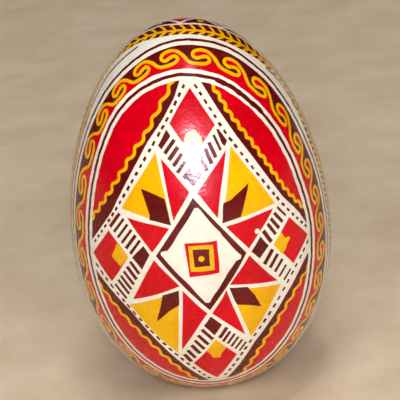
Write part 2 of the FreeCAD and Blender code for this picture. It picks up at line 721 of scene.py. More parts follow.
class Pen:
    """Draws dyed areas and wax lines by hand, one over another, on a face's sheet."""

    SLIP_REACH = 9.0        # the length of the hand's sideways swings
    SWELL_REACH = 5.0       # the length over which a line grows wide and thin
    QUICKER = 0.43          # a second, quicker swing's length as a share of the first
    FULL_BOW = 6.0          # a side of a figure this long bows in full

    def __init__(self, seed: int, mirrored: bool = False, stretch: Point = (1.0, 1.0)) -> None:
        """Take up the pen.

        Args:
            seed: The start of the hand's small slips.
            mirrored: Whether left and right change places.
            stretch: How much wider and taller everything is drawn.
        """
        self.hand = random.Random(seed)
        self.scale = (-stretch[0] if mirrored else stretch[0], stretch[1])
        self.areas: list[tuple[Dye, Path]] = []

    def _put(self, dye: Dye, path: Path) -> None:
        """Keep an area as it lies on the sheet, its outline anticlockwise."""
        self.areas.append((dye, anticlockwise([(u * self.scale[0], v * self.scale[1]) for u, v in path])))

    def _sway(self, size: float, reach: float) -> Callable[[float], float]:
        """Make one slow, small slip of the hand.

        Args:
            size: How far the hand slips.
            reach: The length of its swings.

        Returns:
            The slip at a distance along the line.
        """
        swings = [(self.hand.uniform(0.6, 1.0), self.hand.uniform(0.0, math.tau)) for _ in range(2)]
        lengths = (reach, reach * self.QUICKER)

        def slip(distance: float) -> float:
            """Say how far off the line the hand is at a distance along it."""
            return size * sum(share * math.sin(distance * math.tau / length + phase)
                              for (share, phase), length in zip(swings, lengths)) / 1.5
        return slip

    def about(self, size: float, least: float = 0.85, most: float = 1.15) -> float:
        """Make a size as a hand does, a little less or a little more."""
        return size * self.hand.uniform(least, most)

    def area(self, dye: Dye, path: Path) -> None:
        """Fill a smooth outline."""
        self._put(dye, path)

    def figure(self, dye: Dye, corners: Sequence[Point], bow: float = 0.12, pace: float = 0.9) -> None:
        """Fill a figure with straight sides that bow a little, as a hand draws them.

        Args:
            dye: Its colour.
            corners: Its corners.
            bow: How far a side may bow.
            pace: The distance between the samples.
        """
        path: Path = []
        for start, end in zip(corners, (*corners[1:], corners[0])):
            span = math.dist(start, end)
            steps = max(1, round(span / pace))
            across = Vector((start[1] - end[1], end[0] - start[0])) / max(span, 1e-6)
            depth = self.hand.uniform(-bow, bow) * min(1.0, span / self.FULL_BOW)
            twist = self.hand.uniform(-bow, bow) * 0.5 * min(1.0, span / self.FULL_BOW)
            for k in range(steps):
                t = k / steps
                off = depth * math.sin(math.pi * t) + twist * math.sin(math.tau * t)
                u, v = mix(start, end, t)
                path.append((u + across.x * off, v + across.y * off))
        self._put(dye, path)

    def line(self, dye: Dye, path: Sequence[Point], width: float, slip: float = 0.05,
             swell: float = 0.09) -> None:
        """Draw a line with rounded ends.

        Args:
            dye: Its colour.
            path: Its middle.
            width: Its width.
            slip: How far the hand slips aside.
            swell: How much the width changes, as a share.
        """
        far = measured(path)
        aside, wider = self._sway(slip, self.SLIP_REACH), self._sway(swell, self.SWELL_REACH)
        left, right = [], []
        for i, spot in enumerate(path):
            before, after = path[max(i - 1, 0)], path[min(i + 1, len(path) - 1)]
            run = Vector((after[0] - before[0], after[1] - before[1])).normalized()
            across = Vector((-run.y, run.x))
            off, half = aside(far[i]), width / 2.0 * (1.0 + wider(far[i]))
            left.append((spot[0] + across.x * (off + half), spot[1] + across.y * (off + half)))
            right.append((spot[0] + across.x * (off - half), spot[1] + across.y * (off - half)))
        self._put(dye, left + self._round_end(left[-1], right[-1]) + right[::-1]
                  + self._round_end(right[0], left[0]))

    @staticmethod
    def _round_end(start: Point, end: Point, points: int = 3) -> Path:
        """Round the end of a line from one edge to the other.

        Args:
            start: Where the first edge stops.
            end: Where the other edge starts.
            points: How many points to add.

        Returns:
            The added points, clockwise about the middle.
        """
        middle = Vector(mix(start, end, 0.5))
        arm = Vector(start) - middle
        path = []
        for k in range(1, points + 1):
            spot = middle + Matrix.Rotation(-math.pi * k / (points + 1), 2) @ arm
            path.append((spot.x, spot.y))
        return path

    def loop(self, dye: Dye, path: Path, width: float, slip: float = 0.05) -> None:
        """Draw a closed line in two pulls of the pen, whose ends overlap.

        Args:
            dye: Its colour.
            path: Its middle.
            width: Its width.
            slip: How far the hand slips aside.
        """
        half = len(path) // 2
        self.line(dye, path[:half + 2], width, slip)
        self.line(dye, path[half:] + path[:3], width, slip)

    def ring(self, dye: Dye, oval: Oval, out: float, width: float, slip: float = 0.07) -> None:
        """Draw a line all the way round an oval, from wherever the hand starts.

        Args:
            dye: Its colour.
            oval: The oval.
            out: How far outside the oval the line's middle is.
            width: Its width.
            slip: How far the hand slips aside.
        """
        path = oval.path(out)
        start = self.hand.randrange(len(path))
        self.loop(dye, path[start:] + path[:start], width, slip)

    def dashes(self, dye: Dye, path: Sequence[Point], pitch: float, length: float, width: float) -> None:
        """Draw short dashes along a path.

        Args:
            dye: Their colour.
            path: The path they follow.
            pitch: The distance from dash to dash.
            length: A dash's length.
            width: A dash's width.
        """
        far = measured(path)
        count = round(far[-1] / pitch)
        for k in range(count):
            middle = far[-1] * (k + 0.5) / count + self.hand.uniform(-0.15, 0.15)
            spot, run = walk(path, far, middle)
            tilt = Matrix.Rotation(self.hand.uniform(-0.09, 0.09), 2)
            arm = tilt @ run * (self.about(length, most=1.12) / 2.0)
            across = Vector((-run.y, run.x)) * (self.about(width) / 2.0)
            corners = [spot - arm - across, spot + arm - across, spot + arm + across, spot - arm + across]
            self.figure(dye, [tuple(c) for c in corners], bow=0.03)

    def dot(self, dye: Dye, middle: Point, radius: float, points: int = 12) -> None:
        """Put down a round drop."""
        self._put(dye, [(middle[0] + radius * math.cos(math.tau * k / points),
                         middle[1] + radius * math.sin(math.tau * k / points)) for k in range(points)])


# --------------------------------------------------------------------------
# The drawings
# --------------------------------------------------------------------------


@dataclass
class Ladder:
    """A row of bars between two of the star's points."""

    first: tuple[Point, Point]
    last: tuple[Point, Point]
    bars: int
    widths: tuple[float, float]
    slip: float = 0.12

    def draw(self, pen: Pen) -> None:
        """Draw the bars.

        Args:
            pen: The pen.
        """
        for k in range(self.bars):
            share = k / (self.bars - 1)
            slip = pen.hand.uniform(-self.slip, self.slip)
            ends = (mix(first, last, share) for first, last in zip(self.first, self.last))
            a, b = (Vector((u + slip, v + slip)) for u, v in ends)
            run = (b - a).normalized()
            width = self.widths[0] + (self.widths[1] - self.widths[0]) * share
            across = Vector((-run.y, run.x)) * (pen.about(width) / 2.0)
            corners = (a - across, b - across, b + across, a + across)
            pen.figure(Dye.BROWN, [tuple(corner) for corner in corners], bow=0.05)


@dataclass
class Star:
    """The eight-pointed star with its corner squares, on the medallion's white ground."""

    yellow: Sequence[Sequence[Point]] = (
        ((-8.3, 22.8), (-17.8, 10.6), (-6.4, 7.1)),
        ((8.3, 22.6), (17.4, 8.2), (4.6, 6.4)),
        ((-18.0, -12.9), (-8.0, -25.0), (-6.1, -8.0)),
        ((4.7, -8.3), (16.7, -11.1), (8.6, -22.3), (6.0, -12.7)),
    )
    kites: Sequence[Sequence[Point]] = (
        ((-12.4, 15.1), (-7.2, 12.8), (-6.3, 7.0), (-11.1, 8.2), (-10.9, 9.3)),
        ((11.4, 14.1), (10.2, 10.5), (8.8, 7.1), (4.6, 6.4), (5.3, 10.7), (7.0, 11.1)),
        ((-6.1, -7.8), (-9.8, -9.1), (-10.5, -12.0), (-11.8, -16.1), (-9.0, -13.3), (-6.4, -11.4)),
        ((4.7, -8.3), (8.7, -9.0), (10.2, -11.5), (11.5, -14.8), (8.5, -13.5), (6.0, -12.7)),
    )
    red: Sequence[Sequence[Point]] = (
        ((-7.2, 21.4), (-1.7, 13.9), (-5.7, 7.9)),
        ((-16.5, 8.6), (-6.8, 6.3), (-11.2, 0.9)),
        ((7.2, 21.9), (-0.1, 13.5), (3.8, 7.6)),
        ((5.3, 5.6), (16.8, 7.2), (9.9, -0.3)),
        ((-10.9, -0.8), (-5.8, -6.8), (-17.0, -11.3)),
        ((-5.3, -7.9), (-0.5, -13.8), (-7.0, -23.9)),
        ((9.8, -1.8), (4.8, -7.6), (15.9, -9.9)),
        ((4.0, -8.7), (0.5, -14.0), (7.3, -21.2)),
    )
    corner_squares: Sequence[Sequence[Point]] = (
        ((0.7, 36.0), (-4.6, 28.7), (-0.2, 20.8), (5.4, 27.4)),
        ((-22.0, 4.9), (-27.9, -2.3), (-22.3, -8.1), (-17.1, -0.8)),
        ((20.9, 3.9), (26.2, -2.6), (20.6, -7.6), (15.8, -1.1)),
        ((0.7, -21.2), (-4.8, -28.4), (0.2, -35.4), (5.1, -26.9)),
    )
    yellow_corners: Sequence[Sequence[Point]] = (
        ((-0.2, 20.8), (-1.9, 24.0), (-1.3, 26.3), (0.6, 26.9), (1.9, 25.6), (2.4, 23.8)),
        ((-19.8, 2.2), (-17.1, -0.8), (-19.3, -3.5), (-21.7, -1.4)),
        ((18.1, 1.2), (18.6, 0.3), (19.0, -0.6), (20.2, -0.6), (20.4, -1.2), (19.5, -2.0), (18.9, -3.2),
         (17.7, -4.1), (15.8, -1.1)),
        ((0.7, -21.2), (2.9, -23.9), (1.8, -25.5), (1.3, -27.0), (-0.3, -26.8), (-0.8, -25.5),
         (-1.6, -24.3)),
    )
    small_squares: Sequence[Sequence[Point]] = (
        ((-0.7, 14.9), (-2.9, 17.2), (-0.6, 19.6), (1.4, 17.3)),
        ((-13.1, 2.3), (-11.8, 0.3), (-13.9, -3.4), (-16.1, -0.8)),
        ((12.8, 1.8), (14.6, -0.9), (12.1, -3.2), (10.3, -1.1)),
        ((0.1, -14.7), (2.4, -17.2), (0.5, -19.9), (-1.6, -17.0)),
    )
    ladders: Sequence[Ladder] = (
        Ladder(((-21.4, 5.9), (-18.3, 9.4)), ((-16.6, 0.0), (-13.9, 3.4)), 6, (0.7, 0.75)),
        Ladder(((-16.7, -1.8), (-14.7, -4.5)), ((-21.4, -8.5), (-18.6, -11.5)), 6, (0.9, 0.7)),
        Ladder(((18.0, 7.3), (20.1, 4.7)), ((13.7, 2.9), (15.4, -0.2)), 5, (0.6, 0.85)),
        Ladder(((13.1, -4.8), (15.5, -2.0)), ((17.5, -10.5), (19.6, -8.6)), 5, (0.95, 0.5)),
        Ladder(((-2.1, -18.0), (0.1, -21.0)), ((-6.6, -25.4), (-5.2, -27.9)), 6, (0.75, 0.9)),
        Ladder(((3.3, -18.2), (1.5, -20.9)), ((7.3, -23.6), (5.6, -26.0)), 6, (0.8, 0.45)),
        Ladder(((-6.3, 22.3), (-3.9, 25.1)), ((-3.8, 18.2), (-1.8, 20.5)), 4, (0.85, 0.8)),
        Ladder(((5.9, 21.8), (4.7, 25.2)), ((2.5, 17.9), (1.4, 21.2)), 4, (0.7, 0.85)),
    )
    end_blocks: Sequence[Sequence[Point]] = (
        ((-5.4, 27.5), (-4.6, 26.0), (-6.9, 23.3), (-7.6, 24.2)),
        ((5.5, 26.5), (6.1, 26.4), (7.7, 23.7), (7.0, 22.6), (6.4, 23.3)),
    )
    blob: Point = (12.2, 3.1)
    blob_radius: float = 0.6

    def draw(self, pen: Pen) -> None:
        """Fill the star's figures, each over the ones before it, and draw its ladders.

        Args:
            pen: The pen.
        """
        for dye, figures in ((Dye.YELLOW, self.yellow), (Dye.BROWN, self.kites), (Dye.RED, self.red),
                             (Dye.RED, self.corner_squares), (Dye.YELLOW, self.yellow_corners),
                             (Dye.BROWN, self.small_squares), (Dye.BROWN, self.end_blocks)):
            for corners in figures:
                pen.figure(dye, corners)
        for ladder in self.ladders:
            ladder.draw(pen)
        pen.dot(Dye.WHITE, self.blob, self.blob_radius)


@dataclass
class Heart:
    """The square at the star's heart: a brown frame round nested squares and a dot."""

    frame_outside: Sequence[Point] = ((-1.1, 12.6), (-10.4, 0.1), (0.1, -13.1), (9.2, -1.1))
    frame_inside: Sequence[Point] = (
        (-1.0, 10.4), (-4.2, 6.0), (-7.7, 1.4), (-9.1, 1.1), (-9.3, 0.5), (-7.1, -2.4), (-3.1, -7.5),
        (-0.7, -11.1), (0.2, -11.2), (1.3, -9.4), (4.0, -5.8), (6.7, -2.4), (7.8, -2.1), (8.0, -1.4),
        (4.3, 3.8), (4.0, 4.5), (0.6, 9.3), (-0.2, 10.4),
    )
    red_square: Sequence[Point] = ((-3.9, 2.9), (3.1, 2.9), (2.9, -4.4), (-3.5, -4.8))
    yellow_square: Sequence[Point] = ((-3.15, 2.2), (2.1, 2.0), (2.0, -3.6), (-3.1, -3.5))
    brown_square: Sequence[Point] = ((-2.3, 1.4), (1.3, 1.2), (1.1, -2.6), (-2.2, -2.6))
    dot: Point = (-0.6, -0.8)
    dot_radius: float = 0.65

    def draw(self, pen: Pen) -> None:
        """Fill the squares from the largest to the smallest.

        Args:
            pen: The pen.
        """
        for dye, corners in ((Dye.BROWN, self.frame_outside), (Dye.WHITE, self.frame_inside),
                             (Dye.RED, self.red_square), (Dye.YELLOW, self.yellow_square),
                             (Dye.BROWN, self.brown_square)):
            pen.figure(dye, corners, bow=0.15)
        pen.dot(Dye.YELLOW, self.dot, self.dot_radius)


@dataclass
class Railway:
    """The white border of the big square, with a brown dash between its two wax lines."""

    sides: Sequence[Sequence[Point]] = (
        ((-0.2, 37.3), (-4.4, 30.6), (-9.1, 24.0), (-18.8, 10.9), (-27.4, 0.4)),
        ((1.6, 37.2), (5.1, 30.3), (8.8, 23.4), (18.8, 8.4), (26.6, -1.1)),
        ((-27.4, -4.8), (-18.0, -13.9), (-10.6, -22.8), (-4.6, -30.8), (-1.2, -36.0)),
        ((26.6, -3.8), (21.0, -8.8), (16.4, -13.8), (8.3, -23.8), (1.8, -35.0)),
    )
    outline: Sequence[Point] = (
        (2.7, 38.4), (-1.2, 38.4), (-2.9, 34.4), (-5.6, 30.3), (-10.0, 25.0), (-20.6, 9.5), (-27.7, 1.4),
        (-29.6, -1.4), (-29.0, -5.4), (-25.0, -8.8), (-17.5, -15.0), (-8.7, -27.0), (-2.0, -36.2),
        (0.3, -38.4), (2.7, -35.9), (9.3, -24.4), (17.6, -14.6), (22.9, -9.4), (26.4, -6.6), (28.2, -3.0),
        (24.1, 4.0), (19.7, 9.2), (10.0, 24.4), (6.5, 30.7),
    )
    pitch: float = 1.97
    dash: float = 1.05
    dash_width: float = 0.6

    def draw_ground(self, pen: Pen) -> None:
        """Fill the big square with white."""
        pen.figure(Dye.WHITE, self.outline, bow=0.06)

    def draw_dashes(self, pen: Pen) -> None:
        """Draw the dashes along the four sides."""
        for side in self.sides:
            pen.dashes(Dye.BROWN, flowing(side), self.pitch, self.dash, self.dash_width)


@dataclass
class Ripple:
    """A brown strip outside one side of the big square, edged with a rippling yellow line."""

    edge: Sequence[Point]
    pitch: float
    height: float
    quickening: float = 0.0
    width: float = 0.8
    hook: float = 0.15
    hook_phase: float = 0.9

    def draw(self, pen: Pen, side: Sequence[Point]) -> None:
        """Fill the strip and draw its edge.

        Args:
            pen: The pen.
            side: The side of the big square that the strip lies against.
        """
        base = flowing(self.edge, pace=0.4)
        far = measured(base)
        count = round(far[-1] / self.pitch)
        lean = pen.hand.uniform(0.0, math.tau)
        path: Path = []
        for spot, distance in zip(base, far):
            _, run = walk(base, far, distance)
            share = distance / far[-1]
            phase = math.tau * count * (share + self.quickening * (share - 1.0) * share) + lean
            off = self.height * (math.sin(phase) + self.hook * math.sin(2.0 * phase + self.hook_phase))
            path.append((spot[0] - run.y * off, spot[1] + run.x * off))
        pen.area(Dye.BROWN, path + flowing(side)[::-1])
        pen.line(Dye.YELLOW, path, self.width, slip=0.02)


RIPPLES = (
    Ripple(((-1.9, 39.2), (-2.7, 38.2), (-6.7, 32.2), (-10.1, 27.0), (-12.2, 24.5), (-17.3, 18.3),
            (-22.0, 12.7), (-27.8, 6.5), (-29.0, 5.4)), pitch=3.5, height=0.38, quickening=0.17),
    Ripple(((4.4, 39.0), (5.4, 37.1), (7.7, 32.4), (9.2, 29.3), (13.7, 22.2), (18.4, 14.5), (21.7, 9.5),
            (26.0, 4.5), (27.6, 3.2)), pitch=2.5, height=0.3),
    Ripple(((-28.6, -9.0), (-26.0, -11.0), (-20.2, -16.5), (-14.5, -22.5), (-9.6, -29.0),
            (-5.4, -35.0), (-4.6, -36.6)), pitch=3.3, height=0.36),
    Ripple(((27.6, -8.8), (25.2, -10.8), (18.4, -16.7), (13.4, -22.8), (10.4, -27.4), (6.8, -34.2),
            (5.2, -36.6)), pitch=3.4, height=0.36),
)


@dataclass
class WaveBand:
    """A band of running waves: one yellow line between the red inside and the brown outside."""

    width: float = 0.86
    bearings: Sequence[float] = (
        94.4, 84.3, 74.0, 62.8, 49.6, 36.2, 24.0, 9.8, -4.4, -18.4, -32.0, -44.0, -55.0, -65.0, -74.5,
        -84.0, -93.5, -103.5, -114.0, -126.0, -138.5, -154.2, -169.7, -188.6, -205.8, -222.3, -235.3,
        -246.0, -256.0,
    )
    unit: Sequence[Point] = (
        (-2.9, -1.6), (-1.3, -2.1), (0.7, -1.9), (1.75, -0.9), (1.2, 0.25), (0.1, -0.05),
        (-1.0, -0.6), (-1.9, 0.1), (-1.65, 1.35), (-0.3, 2.05), (1.4, 1.8), (2.8, 0.4),
    )
    unit_length: float = 7.0
    height: float = 0.87
    lift: float = 0.15

    def draw(self, pen: Pen, inside: Oval, outside: Oval) -> None:
        """Draw the waves once round the band, clockwise.

        Args:
            pen: The pen.
            inside: The band's inner edge.
            outside: The band's outer edge.
        """
        knots: Path = []
        count = len(self.bearings)
        for k, bearing in enumerate(self.bearings):
            gap_before = (self.bearings[k - 1] - bearing) % 360.0
            gap_after = (bearing - self.bearings[(k + 1) % count]) % 360.0
            size = pen.hand.uniform(0.95, 1.03)
            for along, out in self.unit:
                gap = gap_after if along > 0.0 else gap_before
                turn = math.radians(bearing - along / self.unit_length * gap)
                deep = outside.radius(turn) - inside.radius(turn)
                share = 0.5 + (out * size * self.height + self.lift) / deep
                knots.append(mix(inside.at(turn), outside.at(turn), share))
        wave = flowing(knots, closed=True, pace=0.45)
        pen.area(Dye.RED, wave)
        pen.loop(Dye.YELLOW, wave, self.width, slip=0.02)


@dataclass
class Medallion:
    """The oval on a face: star, big square, ripples, triple ring and wave band."""

    ring: Oval
    rim: Oval
    star: Star = field(default_factory=Star)
    heart: Heart = field(default_factory=Heart)
    railway: Railway = field(default_factory=Railway)
    ripples: Sequence[Ripple] = RIPPLES
    waves: WaveBand = field(default_factory=WaveBand)
    band_inset: float = 1.6
    line_reach: float = 0.88
    line_width: float = 1.0
    gap_width: float = 0.8
    gap_ground: float = 2.0
    heavy_pull: tuple[float, float] = (59.0, 79.0)
    heavy_steps: int = 16
    heavy_width: float = 1.15

    def draw(self, pen: Pen) -> None:
        """Draw the medallion from the wave band inwards.

        Args:
            pen: The pen.
        """
        outside = self.rim.beside(-self.band_inset)
        pen.area(Dye.BROWN, outside.path())
        self.waves.draw(pen, self.ring.beside(self.line_reach + self.line_width / 2.0), outside)
        pen.area(Dye.RED, self.ring.path())
        for ripple, side in zip(self.ripples, self.railway.sides):
            ripple.draw(pen, side)
        self.railway.draw_ground(pen)
        self.star.draw(pen)
        self.heart.draw(pen)
        self.railway.draw_dashes(pen)
        pen.ring(Dye.WHITE, self.ring, 0.0, self.gap_ground, slip=0.0)
        pen.ring(Dye.WHITE, self.ring, self.line_reach, self.line_width)
        pen.ring(Dye.WHITE, self.ring, -self.line_reach, self.line_width)
        pen.ring(Dye.BROWN, self.ring, 0.0, self.gap_width)
        start, end = self.heavy_pull
        pull = [self.ring.at(math.radians(start + (end - start) * k / self.heavy_steps))
                for k in range(self.heavy_steps + 1)]
        pen.line(Dye.BROWN, pull, self.heavy_width, slip=0.1, swell=0.2)


@dataclass
class WheatBand:
    """A stem of wheat with its ears, in yellow on the brown between the two faces."""

    front: Oval
    rear: Oval
    ears: int = 126
    border: float = 0.4
    stem_width: float = 0.8
    ear_width: float = 0.8
    stem_share: float = 0.34
    stem_places: int = 240
    rear_length: float = 0.8
    rear_slant: float = 0.55
    front_length: float = 0.84
    front_slant: float = 1.0
    least_lean: float = 0.35
    lean_by_width: float = 0.16
    most_lean: float = 1.1
    bend: float = 0.22

    def stem(self, bearing: float) -> Point:
        """Find the stem at a bearing."""
        return mix(self.front.at(bearing), self.rear.at(bearing), self.stem_share)

    def draw(self, pen: Pen) -> None:
        """Fill the band and draw its wheat.

        Args:
            pen: The pen.
        """
        pen.area(Dye.WHITE, self.rear.path(points=SEAM_PLACES))
        pen.area(Dye.BROWN, self.rear.path(-self.border))
        stem = [self.stem(math.tau * k / self.stem_places) for k in range(self.stem_places)]
        pen.loop(Dye.YELLOW, stem, self.stem_width)
        for k in range(self.ears):
            bearing = math.tau * k / self.ears
            self._ear(pen, bearing, self.rear, self.rear_length, self.rear_slant)
            self._ear(pen, bearing, self.front, self.front_length, self.front_slant)

    def _ear(self, pen: Pen, bearing: float, edge: Oval, length: float, slant: float) -> None:
        """Draw one ear, from the stem towards an edge of the band.

        Args:
            pen: The pen.
            bearing: Where it leaves the stem.
            edge: The edge.
            length: How much of the way to the edge it reaches.
            slant: How strongly it leans along the band.
        """
        foot = self.stem(bearing)
        width = math.dist(foot, edge.at(bearing))
        lean = slant * min(self.least_lean + self.lean_by_width * width, self.most_lean)
        ahead = bearing + math.tau / self.ears * lean
        tip = mix(self.stem(ahead), edge.at(ahead), pen.about(length, 0.93, 1.05))
        upright = mix(foot, edge.at(bearing), length / 2.0)
        middle = mix(mix(foot, tip, 0.5), upright, self.bend)
        ear = flowing([foot, middle, tip], pace=0.5)
        pen.line(Dye.YELLOW, ear, pen.about(self.ear_width, 0.9, 1.12), slip=0.0, swell=0.12)


@dataclass
class FrontFace:
    """The front of the egg, out to the rear border of the wheat band."""

    ring: Oval = field(default_factory=lambda: Oval((
        (27.8, 0.0), (26.6, 8.0), (23.7, 17.8), (19.0, 26.6), (13.2, 33.0), (7.0, 37.3), (0.0, 39.1),
        (-6.2, 38.6), (-12.4, 36.1), (-18.2, 31.3), (-23.4, 23.0), (-27.4, 12.4), (-29.4, 0.0),
        (-28.2, -10.0), (-24.2, -20.8), (-18.0, -29.4), (-9.4, -35.9), (0.0, -38.2), (9.2, -35.6),
        (17.4, -28.4), (23.2, -19.4), (26.6, -9.6),
    )))
    outer_line: Oval = field(default_factory=lambda: Oval((
        (36.6, 0.0), (35.4, 11.0), (32.2, 20.4), (28.2, 29.0), (23.0, 36.6), (17.0, 42.0), (10.0, 46.3),
        (0.0, 48.3), (-8.0, 46.9), (-15.0, 43.5), (-21.5, 38.8), (-28.4, 30.6), (-33.6, 21.0),
        (-36.8, 11.0), (-38.0, 0.0), (-36.6, -12.0), (-31.4, -26.0), (-20.0, -39.0), (-9.0, -45.6),
        (0.0, -47.4), (9.0, -45.0), (20.0, -37.8), (30.6, -25.0), (35.4, -12.0),
    )))
    wheat_edge: Oval = field(default_factory=lambda: Oval((
        (38.0, 0.0), (36.9, 11.4), (33.9, 21.0), (31.8, 28.4), (29.2, 35.2), (26.0, 39.0), (21.0, 42.7),
        (17.0, 44.7), (13.0, 46.6), (9.0, 48.2), (5.0, 49.4), (0.0, 50.1), (-6.0, 50.3),
        (-12.0, 50.2), (-18.0, 48.8), (-23.0, 44.8), (-26.6, 39.4), (-30.2, 32.4), (-34.6, 22.6),
        (-38.0, 12.0), (-39.4, 0.0), (-38.2, -12.4), (-34.0, -27.6), (-22.0, -43.0), (-9.0, -51.0),
        (0.0, -52.4), (9.0, -50.6), (22.0, -41.8), (33.0, -26.4), (37.0, -12.4),
    )))
    seam: Oval = field(default_factory=lambda: Oval((
        (47.0, 0.0), (44.8, 14.0), (38.6, 28.6), (29.6, 41.0), (21.0, 48.6), (16.0, 51.4), (12.0, 53.0),
        (8.0, 54.0), (4.0, 54.4), (0.0, 54.6), (-3.0, 55.1), (-6.0, 55.6), (-13.6, 54.2), (-20.8, 50.2),
        (-29.4, 41.8), (-38.2, 29.0), (-44.4, 14.0), (-46.6, 0.0), (-45.6, -18.0), (-38.6, -38.6),
        (-22.0, -56.4), (0.0, -61.2), (22.0, -56.0), (38.0, -38.4), (45.4, -18.0),
    )))
    left_crescent: Sequence[Point] = ((-12.0, 49.0), (-16.0, 47.0), (-22.0, 43.3), (-27.2, 36.8),
                                      (-30.6, 30.6))
    right_crescent: Sequence[Point] = ((22.6, 41.0), (26.0, 38.0), (29.2, 34.0), (31.2, 29.8))
    foot_crescent: Sequence[Point] = ((-20.0, -42.0), (-10.0, -48.6), (0.0, -50.2), (10.0, -48.2),
                                      (20.0, -41.0))
    crescent_line: float = 0.58
    outer_line_width: float = 0.8

    def draw(self, pen: Pen) -> None:
        """Draw the wheat, the rings and the medallion.

        Args:
            pen: The pen.
        """
        WheatBand(self.wheat_edge, self.seam).draw(pen)
        pen.area(Dye.WHITE, self.wheat_edge.path())
        for crescent in (self.left_crescent, self.right_crescent, self.foot_crescent):
            pen.line(Dye.BROWN, flowing(crescent), self.crescent_line)
        pen.ring(Dye.BROWN, self.outer_line, 0.0, self.outer_line_width)
        Medallion(self.ring, self.outer_line).draw(pen)


@dataclass
class ToothBand:
    """A band of teeth: white zigzag, red inside it, brown with a yellow drop outside it."""

    outside: Oval
    inside: Oval
    teeth: int = 30
    line_width: float = 0.8
    foot_inset: float = 0.2
    tip_inset: float = 0.1
    side_steps: int = 6
    drop_share: float = 0.62
    drop_radius: float = 0.95
    drop_points: int = 14

    def _side(self, start: Point, end: Point) -> Path:
        """Walk a tooth's side."""
        return [mix(start, end, k / self.side_steps) for k in range(self.side_steps + 1)]

    def draw(self, pen: Pen) -> None:
        """Fill the band and draw its teeth.

        Args:
            pen: The pen.
        """
        pen.area(Dye.BROWN, self.outside.path())
        zigzag: Path = []
        step = math.tau / self.teeth
        for k in range(self.teeth):
            zigzag.append(self.inside.at(step * k, self.foot_inset))
            zigzag.append(self.outside.at(step * (k + 0.5), -self.tip_inset))
        sides = [self._side(start, end) for start, end in zip(zigzag, zigzag[1:] + zigzag[:1])]
        pen.area(Dye.RED, [spot for side in sides for spot in side[:-1]])
        for k in range(self.teeth):
            left, foot, right = zigzag[2 * k - 1], zigzag[2 * k], zigzag[2 * k + 1]
            for start, end in ((left, foot), (foot, right)):
                pen.line(Dye.WHITE, self._side(start, end), self.line_width, slip=0.04)
            drop = mix(self.inside.at(step * k), self.outside.at(step * k), self.drop_share)
            pen.dot(Dye.YELLOW, drop, pen.about(self.drop_radius, 0.9, 1.1), self.drop_points)


@dataclass
class BackFace:
    """The back of the egg, inside the wheat band's rear border."""

    seam: Path
    border: float = 0.4
    tooth_depth: float = 4.7
    inner_line: float = 1.15
    inner_line_width: float = 0.62
    stretch: Point = (1.0, 1.03)

    def draw(self, pen: Pen, medallion: Pen) -> None:
        """Draw the tooth band, the rings and the sister medallion.

        Args:
            pen: The pen for the border.
            medallion: The pen for the medallion, which mirrors and stretches.
        """
        rim = Oval(self.seam)
        pen.area(Dye.WHITE, self.seam)
        outside = rim.beside(-self.border)
        inside = rim.beside(-self.border - self.tooth_depth)
        ToothBand(outside, inside).draw(pen)
        pen.area(Dye.WHITE, inside.path())
        pen.ring(Dye.BROWN, inside, -self.inner_line, self.inner_line_width)
        front = FrontFace()
        Medallion(front.ring, front.outer_line).draw(medallion)
        pen.areas.extend(medallion.areas)


# --------------------------------------------------------------------------
# Pieces
# --------------------------------------------------------------------------


# Tells the triangulation to keep only the triangles inside what was drawn.
INSIDE_ONLY = 1


